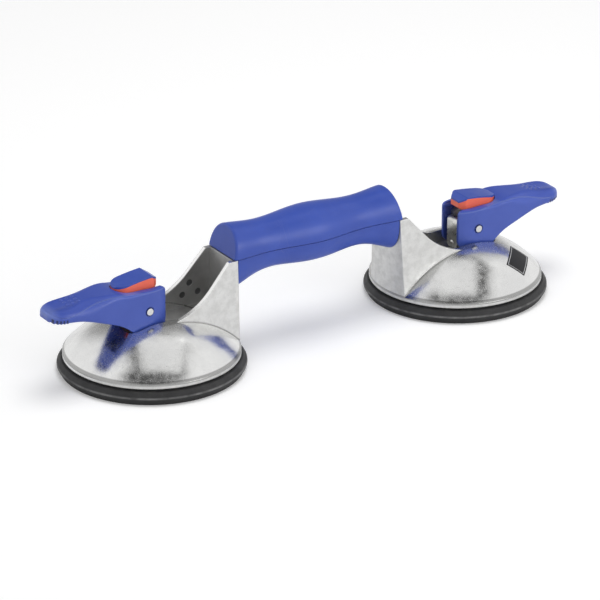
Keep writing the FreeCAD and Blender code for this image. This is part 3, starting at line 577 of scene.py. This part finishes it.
# %% Steel
def steel(name, color, roughness, grain_height):
    """Metal with patchy gloss, hairlines and a fine grain."""
    material, tree, shader, place = new_material(name)
    drift = use(tree, patches, Vector=place, Scale=160.0).outputs["Value"]
    darker = tuple(0.8 * channel for channel in color)
    lines = use(tree, hairlines, Vector=place, Scale=160.0, Width=0.03, Amount=0.8).outputs["Mask"]
    uneven = use(tree, patches, Vector=place, Scale=240.0, Low=roughness - 0.05, High=roughness + 0.07)
    surface = use(tree, relief, Vector=place, Edge_Radius=0.0003, Wave_Scale=120.0, Wave_Height=0.00002,
                  Grain_Scale=2600.0, Grain_Height=grain_height)
    wire(tree, shader, Base_Color=blend_color(tree, drift, color, darker), Metallic=1.0,
         Roughness=calc(tree, "ADD", uneven.outputs["Value"], product(tree, lines, 0.2)),
         Normal=surface.outputs["Normal"])
    return material


zinc = steel("zinc_steel", (0.76, 0.76, 0.73), 0.30, 0.000008)
bright_steel = steel("steel_pins", (0.78, 0.78, 0.77), 0.18, 0.000003)
spring_steel = steel("spring_steel", (0.34, 0.34, 0.35), 0.30, 0.000004)
print("metals:", zinc.name, bright_steel.name, spring_steel.name)

# %% [markdown]
# ## Rubber
#
# The pads are matt moulded rubber with talc left in the pores.  The lip, their
# widest line, carries a pale band of painted highlight; it is found by its height,
# which is the same all round, so it needs no mask of its own.

# %% Rubber
LIP_HEIGHT = 4.9 * MM
rubber, tree, shader, place = new_material("black_rubber")
drift = use(tree, patches, Vector=place, Scale=55.0).outputs["Value"]
body = blend_color(tree, drift, (0.024, 0.024, 0.025), (0.033, 0.033, 0.034))
talc = use(tree, specks, Vector=place, Scale=1100.0, Coverage=0.26).outputs["Mask"]
body = blend_color(tree, product(tree, talc, 0.10), body, (0.22, 0.22, 0.22))
settled = use(tree, dust, Vector=place, Amount=0.08).outputs["Mask"]
body = blend_color(tree, settled, body, (0.34, 0.33, 0.31))
from_lip = apart(tree, split(tree, place)[2], LIP_HEIGHT)
# painted highlight: a pale band painted along the lip
lip_highlight = product(tree, ramp(tree, from_lip, 0.0002, 0.0008, 1.0, 0.0),
                   use(tree, patches, Vector=place, Scale=140.0, Low=0.25, High=0.9).outputs["Value"], 0.75)
surface = use(tree, relief, Vector=place, Edge_Radius=0.0005, Wave_Scale=70.0, Wave_Height=0.00006,
              Grain_Scale=1700.0, Grain_Height=0.00003)
wire(tree, shader, Base_Color=blend_color(tree, lip_highlight, body, (0.24, 0.24, 0.24)), Specular_IOR_Level=0.3,
     Roughness=use(tree, patches, Vector=place, Scale=90.0, Low=0.50, High=0.66).outputs["Value"],
     Normal=surface.outputs["Normal"])
print("rubber finish:", len(tree.nodes), "nodes")

# %% [markdown]
# ## Dressing the frame
#
# Each rigid piece is one moulding, casting or turned part, so it gets one finish
# as a whole.  The pieces' meshes are not touched.

# %% Dress the frame
dress(blue, "handle_upper_shell", "handle_lower_shell")
dress(zinc, "handle_bar")
dress(bright_steel, "bar_screws", "shell_screws")
for side in SIDES:
    dress(lever_blue, f"{side}_lever")
    dress(blue, f"{side}_button_cap")
    dress(red, f"{side}_button_latch")
    dress(cast, f"{side}_cup_housing")
    dress(bright_steel, f"{side}_lever_pin", f"{side}_link_pin", f"{side}_button_pin")
    dress(zinc, f"{side}_pad_stud", f"{side}_stirrup", f"{side}_stirrup_rivet")
print("dressed:", sum(len(node.data.materials) > 0 for node in nodes.values()), "of", len(nodes), "pieces")


# %% [markdown]
# ## Making surfaces
#
# Every new piece is a grid of points computed all at once, closed where it needs
# to be, and turned into a mesh.

# %% Mesh helpers
def grid_faces(rows, columns, close_rows=False, close_columns=False):
    """Four-cornered faces of a grid; either direction can join its end to its start."""
    row = np.arange(rows if close_rows else rows - 1)
    column = np.arange(columns if close_columns else columns - 1)
    first, second = np.meshgrid(row, column, indexing="ij")
    next_row = (first + 1) % rows
    next_column = (second + 1) % columns
    corners = [first * columns + second, next_row * columns + second,
               next_row * columns + next_column, first * columns + next_column]
    return np.stack(corners, axis=-1).reshape(-1, 4)


def make_piece(name, points, faces, material, smooth=True):
    """Mesh object from rows of points and a list of faces, each a row of point numbers."""
    mesh = bpy.data.meshes.new(name)
    rows = [[int(corner) for corner in face] for face in faces]
    mesh.from_pydata(np.asarray(points, dtype=float).reshape(-1, 3).tolist(), [], rows)
    mesh.polygons.foreach_set("use_smooth", np.full(len(mesh.polygons), smooth))
    mesh.materials.append(material)
    mesh.update()
    piece = bpy.data.objects.new(name, mesh)
    bpy.context.scene.collection.objects.link(piece)
    return piece


def turned(name, profile, centre_x, material, steps=128):
    """Closed profile of (radius, height) rows turned about the vertical line at centre_x:
    x = centre_x + r cos a, y = r sin a, z = h."""
    profile = np.asarray(profile, dtype=float)
    angle = np.linspace(0.0, 2 * np.pi, steps, endpoint=False)[:, None]
    radius, height = profile[None, :, 0], profile[None, :, 1]
    points = np.stack([
        centre_x + radius * np.cos(angle),
        radius * np.sin(angle),
        height + 0.0 * angle,
    ], axis=-1)
    return make_piece(name, points, grid_faces(steps, len(profile), True, True), material)


def bend(start, corner, end, steps):
    """Points of the curve (1−t)² start + 2t(1−t) corner + t² end, both ends included."""
    t = np.linspace(0.0, 1.0, steps)[:, None]
    start, corner, end = (np.asarray(point, dtype=float) for point in (start, corner, end))
    return (1 - t) ** 2 * start + 2 * t * (1 - t) * corner + t ** 2 * end


# %% [markdown]
# ## Rubber pads
#
# A pad is one moulding, but two things happen to it.  Its flange and sealing ring
# stay under the rim, while its middle is pulled up by the stud and sags when the
# lever is raised.  Here the ring rides with the frame, and the web under it is a
# piece of its own, left where it is built.  The web's cross-section is a shallow
# arch.
# Both are turned from a profile, as the mould was; Blender's Spin or Screw would do
# it too, but a computed grid closes its own seam.

# %% Pad ring and web
pad_radius = (pad_high[0] - pad_low[0]) / 2
pad_floor = feeler("right_suction_pad")
middle_low = probe(pad_floor, (cup_x, 0, -0.01), (0, 0, 1)).z
plate_radius = (plate_high[0] - plate_low[0]) / 2
plate_z = plate_low[2]
ring_radius = pad_radius - 2 * MM
web_radius = 46 * MM
print("pad radius", round(pad_radius, 5), "middle's underside", round(middle_low, 5),
      "plate at", round(plate_z, 5))


def ring_profile():
    """Cross-section of flange, lip and sealing ring, anticlockwise from the inner foot."""
    foot = 0.7 * MM
    rows = [
        [(web_radius + 0.6 * MM, 0.0)],
        [(ring_radius - foot, 0.0)],
        bend((ring_radius - foot, 0.0), (ring_radius, 0.0), (ring_radius + 0.2 * MM, foot), 5),
        [(ring_radius + 0.5 * MM, 2.1 * MM)],
        bend((ring_radius + 0.5 * MM, 2.3 * MM), (ring_radius + 0.5 * MM, 3.0 * MM),
             (pad_radius - 0.5 * MM, 3.3 * MM), 6),
        bend((pad_radius - 0.5 * MM, 3.3 * MM), (pad_radius - 0.1 * MM, 3.4 * MM),
             (pad_radius - 0.1 * MM, 3.9 * MM), 5),
        bend((pad_radius - 0.1 * MM, 4.0 * MM), (pad_radius, 5.2 * MM), (pad_radius - 0.6 * MM, 5.4 * MM), 7),
        [(pad_radius - 1.0 * MM, 5.7 * MM)],
        bend((pad_radius - 2.2 * MM, rim_z - 2.1 * MM), (pad_radius - 2.6 * MM, rim_z - 1.5 * MM),
             (pad_radius - 3.4 * MM, rim_z - 1.5 * MM), 6),
        [(pad_radius - 5.4 * MM, rim_z - 1.5 * MM)],
        [(pad_radius - 6.0 * MM, rim_z)],
        [(pad_radius - 8.6 * MM, rim_z)],
        [(pad_radius - 11 * MM, 6.4 * MM)],
        [(web_radius + 0.8 * MM, 3.0 * MM)],
    ]
    return np.concatenate([np.atleast_2d(row) for row in rows])


def web_profile():
    """Cross-section of the web: arched underside, thicker middle under the plate."""
    flat = 12 * MM
    radius = np.linspace(web_radius, flat, 28)
    share = (web_radius - radius) / (web_radius - flat)
    under = np.stack([radius, middle_low * np.sin(0.5 * np.pi * share) ** 1.15], axis=1)
    edge = plate_radius + 1.0 * MM
    over = under[under[:, 0] > edge + 1.5 * MM][::-1] + (0.6 * MM, 1.8 * MM)
    axis = 0.02 * MM
    middle = [(axis, middle_low), (axis, plate_z), (edge - 1.0 * MM, plate_z), (edge, plate_z - 1.0 * MM)]
    return np.concatenate([under, middle, over])


for side, sign in SIDES.items():
    node = f"{side}_suction_pad"
    ring = turned(f"{side}_pad_ring", ring_profile(), sign * cup_x, rubber, steps=160)
    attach(ring, "frame")
    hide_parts(node)
    web = turned(f"{side}_pad_web", web_profile(), sign * cup_x, rubber)
    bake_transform(web)
    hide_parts(node)
    print(side, "pad ring", len(ring.data.polygons), "faces, web", len(web.data.polygons))


# %% [markdown]
# ## Coils
#
# A coil is a tube drawn along a helix whose pitch eases off at both ends, so that
# the last turns lie flat like ground spring ends.  Blender's Screw gives one even
# pitch, so the helix is computed instead.

# %% Springs
def coil_points(radius, thickness, length, turns, around=10, per_turn=28):
    """Tube of the given thickness about the helix
    (R cos a, R sin a, h(a)), with h easing in and out; axis Z, standing on zero."""
    count = int(turns * per_turn) + 1
    share = np.linspace(0.0, 1.0, count)
    eased = np.clip((share * turns - 0.75) / (turns - 1.5), 0.0, 1.0)
    rise = thickness / 2 + (length - thickness) * eased
    angle = 2 * np.pi * turns * share
    centre = np.stack([radius * np.cos(angle), radius * np.sin(angle), rise], axis=1)
    outward = np.stack([np.cos(angle), np.sin(angle), 0 * angle], axis=1)
    upward = np.array([0.0, 0.0, 1.0])
    turn = np.linspace(0.0, 2 * np.pi, around, endpoint=False)
    ring = np.cos(turn)[None, :, None] * outward[:, None, :] + np.sin(turn)[None, :, None] * upward
    points = centre[:, None, :] + thickness / 2 * ring
    tube = grid_faces(count, around, False, True)
    caps = [[count * around, (k + 1) % around, k] for k in range(around)]
    last = (count - 1) * around
    caps += [[count * around + 1, last + k, last + (k + 1) % around] for k in range(around)]
    points = np.concatenate([points.reshape(-1, 3), centre[:1], centre[-1:]])
    return points, tube.tolist() + caps


TURNS = 4
for side, sign in SIDES.items():
    node = f"{side}_stud_spring"
    low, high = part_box(node)
    thickness = 1.5 * MM
    radius = (high[1] - low[1]) / 2 - thickness / 2 - 0.05 * MM
    points, faces = coil_points(radius, thickness, high[2] - low[2], TURNS)
    points += (sign * cup_x, 0, low[2])
    spring = make_piece(f"{side}_stud_coil", points, faces, spring_steel)
    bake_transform(spring)
    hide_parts(node)

    node = f"{side}_button_spring"
    low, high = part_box(node)
    thickness = 0.8 * MM
    radius = (high[2] - low[2]) / 2 - thickness / 2
    points, faces = coil_points(radius, thickness, high[1] - low[1], TURNS, around=8)
    points = points[:, [0, 2, 1]] * (1, 1, -1)
    points += ((low[0] + high[0]) / 2, low[1], (low[2] + high[2]) / 2)
    spring = make_piece(f"{side}_button_coil", points, faces, spring_steel)
    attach(spring, f"{side}_lever_arm")
    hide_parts(node)
print("coils:", len(faces), "faces in each small one")


# %% [markdown]
# ## Dots and ribs on the levers
#
# Nine low dots on the thumb rest and a few short ribs under the tip keep a wet
# hand from slipping.  They are part of the moulding: each dot is a flat cap whose
# foot sits just under the skin, each rib a half-round bar that tapers at its ends.
# A bump map would not show in the outline under the tip, so both are real shapes.
# Their heights come from probing the lever.

# %% Lever details
def bump_points(radius, rise, around=14, rings=5):
    """Low cap z = rise (1 − (r/R)²) on rings of growing radius, with a sunken skirt."""
    share = np.linspace(0.0, 1.0, rings)[1:]
    angle = np.linspace(0.0, 2 * np.pi, around, endpoint=False)
    x = radius * share[:, None] * np.cos(angle)
    y = radius * share[:, None] * np.sin(angle)
    z = np.broadcast_to(rise * (1 - share[:, None] ** 2), x.shape)
    skirt = np.stack([x[-1], y[-1], np.full(around, -2 * rise)], axis=-1)
    cap = np.stack([x, y, z], axis=-1).reshape(-1, 3)
    points = np.concatenate([[[0, 0, rise]], cap, skirt, [[0, 0, -2 * rise]]])
    faces = [[0, 1 + k, 1 + (k + 1) % around] for k in range(around)]
    faces += (grid_faces(rings, around, False, True) + 1).tolist()
    base = 1 + (rings - 1) * around
    faces += [[len(points) - 1, base + (k + 1) % around, base + k] for k in range(around)]
    return points, faces


def rib_points(spine, radius, around=10):
    """Round bar about the spine, a row of points that goes across the lever, thinner at its ends:
    p = spine + R (1 − s⁸)^½ (x cos a + z sin a)."""
    steps = len(spine)
    s = np.linspace(-0.98, 0.98, steps)
    size = radius * np.sqrt(1 - s ** 8)
    angle = np.linspace(0.0, 2 * np.pi, around, endpoint=False)
    section = np.stack([np.cos(angle), 0 * angle, np.sin(angle)], axis=-1)
    points = (spine[:, None, :] + size[:, None, None] * section).reshape(-1, 3)
    faces = grid_faces(steps, around, False, True)[:, ::-1].tolist()
    faces.append(list(range(around)))
    faces.append(list(range((steps - 1) * around, steps * around))[::-1])
    return points, faces


def laid_on(points, place, normal):
    """Points turned so that their z runs along normal, then moved to place."""
    turn = np.array(Vector(normal).to_track_quat("Z", "Y").to_matrix())
    return points @ turn.T + np.array(place)


def joined(name, shapes, material):
    """One piece out of several (points, faces) pairs."""
    points, faces, start = [], [], 0
    for shape_points, shape_faces in shapes:
        points.append(np.asarray(shape_points))
        faces += [[corner + start for corner in face] for face in shape_faces]
        start += len(shape_points)
    return make_piece(name, np.concatenate(points), faces, material)


# %% Place the dots and ribs
DOT_START = 14.5
DOT_ROW_PITCH = 3.8
DOT_COLUMN_PITCH = 4.2
RIB_RADIUS = 0.6 * MM
RIB_SUNK = 0.05 * MM
STEP = 0.1 * MM

for side, sign in SIDES.items():
    lever = feeler(f"{side}_lever")
    shapes = []
    for row in range(3):
        for column in range(3):
            x = sign * (tip_x - (DOT_START + DOT_ROW_PITCH * row) * MM)
            y = (column - 1) * DOT_COLUMN_PITCH * MM
            top, normal = lever.ray_cast(Vector((x, y, 0.1)), Vector((0, 0, -1)))[:2]
            points, faces = bump_points(1.2 * MM, 0.4 * MM)
            shapes.append((laid_on(points, top, normal), faces))
    dots = joined(f"{side}_lever_dots", shapes, bump_blue)
    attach(dots, f"{side}_lever_arm")

    shapes = []
    for row in range(RIB_COUNT):
        x = sign * (tip_x - RIB_START - RIB_PITCH * row)
        widths = np.arange(0.0, 0.02, STEP)
        half_length = max(y for y in widths if probe(lever, (x, y, 0.0), (0, 0, 1))) - STEP
        spine = [probe(lever, (x, y, 0.0), (0, 0, 1)) for y in np.linspace(-half_length, half_length, 25)]
        shapes.append(rib_points(np.array(spine) + (0, 0, RIB_SUNK), RIB_RADIUS))
    ribs = joined(f"{side}_lever_ribs", shapes, bump_blue)
    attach(ribs, f"{side}_lever_arm")
print("dots:", len(dots.data.polygons), "ribs:", len(ribs.data.polygons), "faces a side")


# %% [markdown]
# ## Sticker
#
# The right dome carries a small dark sticker.  It is left without words or
# signs: only a thin pale border.  It lies on the dome like paper on a ball, a
# grid of directions from the ball's centre pushed out by the foil's thickness.  A
# flat card with a Shrinkwrap would do as well, but needs a surface to cling to; the
# dome is a ball, so its points are known.

# %% Sticker
def sticker_points(out, across, turn, length, width, lift, rows, columns):
    """Rectangle length × width on the ball, centred over (out, across) and turned about its
    own normal: p = centre + (R + lift) · unit(n R + a·e + b·f)."""
    height = math.sqrt(dome_radius ** 2 - out ** 2 - across ** 2)
    normal = np.array([out, across, height]) / dome_radius
    level = np.cross([0.0, 0.0, 1.0], normal)
    level /= np.linalg.norm(level)
    uphill = np.cross(normal, level)
    first = math.cos(turn) * level + math.sin(turn) * uphill
    second = np.cross(normal, first)
    a = np.linspace(-length / 2, length / 2, columns)[None, :, None]
    b = np.linspace(-width / 2, width / 2, rows)[:, None, None]
    direction = normal * dome_radius + a * first + b * second
    direction = direction / np.linalg.norm(direction, axis=-1, keepdims=True)
    return (direction * (dome_radius + lift)).reshape(-1, 3) + (cup_x, 0.0, float(dome_centre))


# %% Foil
sticker, tree, shader, place = new_material("dark_foil")
drift = use(tree, patches, Vector=place, Scale=120.0).outputs["Value"]
u, v, _ = split(tree, add(tree, "ShaderNodeUVMap", uv_map="foil").outputs["UV"])
from_ends, from_sides = [calc(tree, "SUBTRACT", 0.5, apart(tree, axis, 0.5)) for axis in (u, v)]
near_edge = calc(tree, "MINIMUM", product(tree, from_ends, 1.8), from_sides)
border = product(tree, calc(tree, "GREATER_THAN", near_edge, 0.06), calc(tree, "LESS_THAN", near_edge, 0.095))
foil_color = blend_color(tree, drift, (0.014, 0.014, 0.015), (0.022, 0.022, 0.023))
wire(tree, shader, Base_Color=blend_color(tree, product(tree, border, 0.7), foil_color, (0.6, 0.6, 0.6)),
     Roughness=blend_value(tree, drift, 0.50, 0.62), Specular_IOR_Level=0.25)

FOIL_OUT, FOIL_ACROSS, FOIL_TURN = 28.2 * MM, -31.2 * MM, math.radians(9)
FOIL_LENGTH, FOIL_WIDTH, FOIL_LIFT = 26 * MM, 14 * MM, 0.15 * MM
rows, columns = 13, 17
count = rows * columns
sheets = [sticker_points(FOIL_OUT, FOIL_ACROSS, FOIL_TURN, FOIL_LENGTH, FOIL_WIDTH, lift, rows, columns)
          for lift in (FOIL_LIFT, -FOIL_LIFT)]
top_faces = grid_faces(rows, columns)[:, ::-1]
rim = np.concatenate([np.arange(columns), np.arange(2 * columns - 1, count, columns),
                      np.arange(count - 2, count - columns - 1, -1),
                      np.arange(count - 2 * columns, 0, -columns)])
rim_next = np.roll(rim, -1)
walls = np.stack([rim, rim + count, rim_next + count, rim_next], axis=1)
foil_faces = np.concatenate([top_faces, top_faces[:, ::-1] + count, walls])
foil = make_piece("right_sticker", np.concatenate(sheets), foil_faces, sticker)
layer = foil.data.uv_layers.new(name="foil")
corner_points = np.array([loop.vertex_index for loop in foil.data.loops]) % count
layout_uv = np.stack([corner_points % columns / (columns - 1), corner_points // columns / (rows - 1)], axis=1)
layer.data.foreach_set("uv", layout_uv.ravel())
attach(foil, "frame")
print("sticker:", len(foil.data.polygons), "faces")


# %% [markdown]
# ## Studio
#
# A pale floor, white all round the horizon, a wide soft box above and a smaller
# one in front.  The dome mirrors exactly that: the upper box as a bright patch in
# its middle, a strip of dark ceiling on two sides of it, and white near the rim.
# A grey flag behind the lifter keeps the levers' backs from looking milky, and a
# second overhead lamp, kept out of the mirrors, makes the shadow plainer.
#
# The floor glows a little where the eye or a mirror meets it, so it is as white as
# the horizon and still takes the shadow.

# %% Floor
FLOOR_GLOW_SEEN, FLOOR_GLOW_MIRRORED = 0.19, 0.08


def make_floor(half_size):
    """Square just under the rubber; from below it is clear, so the underside can be seen."""
    level = -0.05 * MM
    corners = [(x * half_size, y * half_size, level) for x, y in ((-1, -1), (1, -1), (1, 1), (-1, 1))]
    material, tree = bare_material("studio_floor")
    matt = wire(tree, add(tree, "ShaderNodeBsdfDiffuse"), Color=(0.92, 0.92, 0.92))
    rays = add(tree, "ShaderNodeLightPath").outputs
    strength = calc(tree, "ADD", product(tree, rays["Is Camera Ray"], FLOOR_GLOW_SEEN),
                    product(tree, rays["Is Glossy Ray"], FLOOR_GLOW_MIRRORED))
    glow = wire(tree, add(tree, "ShaderNodeEmission"), Strength=strength)
    both = add(tree, "ShaderNodeAddShader")
    from_below = add(tree, "ShaderNodeMixShader")
    backfacing = add(tree, "ShaderNodeNewGeometry").outputs["Backfacing"]
    clear = add(tree, "ShaderNodeBsdfTransparent").outputs[0]
    for socket, value in zip(both.inputs, (matt.outputs[0], glow.outputs[0])):
        feed(tree, socket, value)
    for socket, value in zip(from_below.inputs, (backfacing, both.outputs[0], clear)):
        feed(tree, socket, value)
    wire(tree, add(tree, "ShaderNodeOutputMaterial"), Surface=from_below.outputs[0])
    return make_piece("studio_floor", corners, [(0, 1, 2, 3)], material, smooth=False)


make_floor(6.0)

# %% [markdown]
# The surroundings are a function of direction, which costs less than walls and
# cards built as meshes and adds nothing that could be hit.  *Sideways* and
# *lengthways* are measured across and along the line of sight, so the dark strips
# of ceiling keep their place beside the bright patch.

# %% Surroundings
SIGHT = (0.42, 0.91)
FLAG_DIRECTION = (0.424, 0.734, 0.530)
world = bpy.data.worlds.new("studio")
bpy.context.scene.world = world
world.use_nodes = True
tree = world.node_tree
tree.nodes.clear()
looking = add(tree, "ShaderNodeTexCoord").outputs["Generated"]
x, y, z = split(tree, looking)
sideways = calc(tree, "MULTIPLY_ADD", x, SIGHT[0], product(tree, y, SIGHT[1]))
lengthways = calc(tree, "MULTIPLY_ADD", x, SIGHT[1], calc(tree, "MULTIPLY_ADD", y, -SIGHT[0], -0.08))
off_middle = ramp(tree, calc(tree, "ABSOLUTE", sideways), 0.10, 0.26)
behind_box = ramp(tree, calc(tree, "ABSOLUTE", lengthways), 0.34, 0.42, 1.0, 0.0)
dark_ceiling = product(tree, ramp(tree, z, 0.80, 0.88), calc(tree, "MAXIMUM", off_middle, behind_box))
sky = blend_value(tree, dark_ceiling, 0.98, 0.03)
towards_flag = add(tree, "ShaderNodeVectorMath", operation="DOT_PRODUCT")
for socket, value in zip(towards_flag.inputs, (looking, FLAG_DIRECTION)):
    feed(tree, socket, value)
flag = ramp(tree, towards_flag.outputs["Value"], 0.80, 0.93)
sky = calc(tree, "MINIMUM", sky, blend_value(tree, flag, 1.0, 0.30))
rays = add(tree, "ShaderNodeLightPath").outputs
lit = blend_value(tree, rays["Is Diffuse Ray"], sky, product(tree, sky, 0.66))
background = wire(tree, add(tree, "ShaderNodeBackground"), Color=(1.0, 1.0, 1.0),
                  Strength=blend_value(tree, rays["Is Camera Ray"], lit, 1.0))
wire(tree, add(tree, "ShaderNodeOutputWorld"), Surface=background.outputs[0])
print("surroundings:", len(tree.nodes), "nodes")


# %% [markdown]
# Three lamps add to that: one seen in the dome as its bright patch, one that only
# casts the shadow, and one from the front for the levers' cheeks.

# %% Lamps
def soft_box(name, place, width, height, power, turn=0.0, mirrored=True):
    """Rectangular lamp that looks at the middle of the lifter, turned about its own axis."""
    lamp = bpy.data.lights.new(name, "AREA")
    lamp.shape = "RECTANGLE"
    lamp.size = width
    lamp.size_y = height
    lamp.energy = power
    holder = bpy.data.objects.new(name, lamp)
    bpy.context.scene.collection.objects.link(holder)
    holder.location = place
    aimed = (-Vector(place)).to_track_quat("-Z", "Y") @ Quaternion((0.0, 0.0, 1.0), turn)
    holder.rotation_euler = aimed.to_euler()
    holder.visible_glossy = mirrored


soft_box("overhead_box", (0.13, 0.0, 1.6), 1.30, 1.05, 3.8, math.radians(-28))
soft_box("shadow_box", (0.13, 0.0, 1.6), 1.00, 0.80, 9.2, math.radians(-28), mirrored=False)
soft_box("front_box", (0.563, -1.394, 0.547), 0.9, 0.6, 4.6)
print("lamps:", [lamp.name for lamp in bpy.data.lights])

# %% [markdown]
# ## Camera
#
# A long lens from far away, turned to the left and looking down: little
# perspective, as for a catalogue.  It looks at a point just above the tile.

# %% Camera
AZIMUTH = math.radians(-32.442)
ELEVATION = math.radians(23.778)
DISTANCE = 2.8137
aim = Vector((-0.00495, 0.0, 0.01948))
towards_camera = Vector((
    math.cos(ELEVATION) * math.sin(AZIMUTH),
    -math.cos(ELEVATION) * math.cos(AZIMUTH),
    math.sin(ELEVATION),
))
camera_data = bpy.data.cameras.new("camera")
camera_data.lens = 264.36
camera_data.sensor_width = 36.0
camera_data.clip_end = 50.0
camera = bpy.data.objects.new("camera", camera_data)
bpy.context.scene.collection.objects.link(camera)
camera.location = aim + towards_camera * DISTANCE
camera.rotation_euler = towards_camera.to_track_quat("Z", "Y").to_euler()
bpy.context.scene.camera = camera
bpy.context.scene.view_settings.view_transform = "Standard"
print("camera at", [round(value, 3) for value in camera.location])
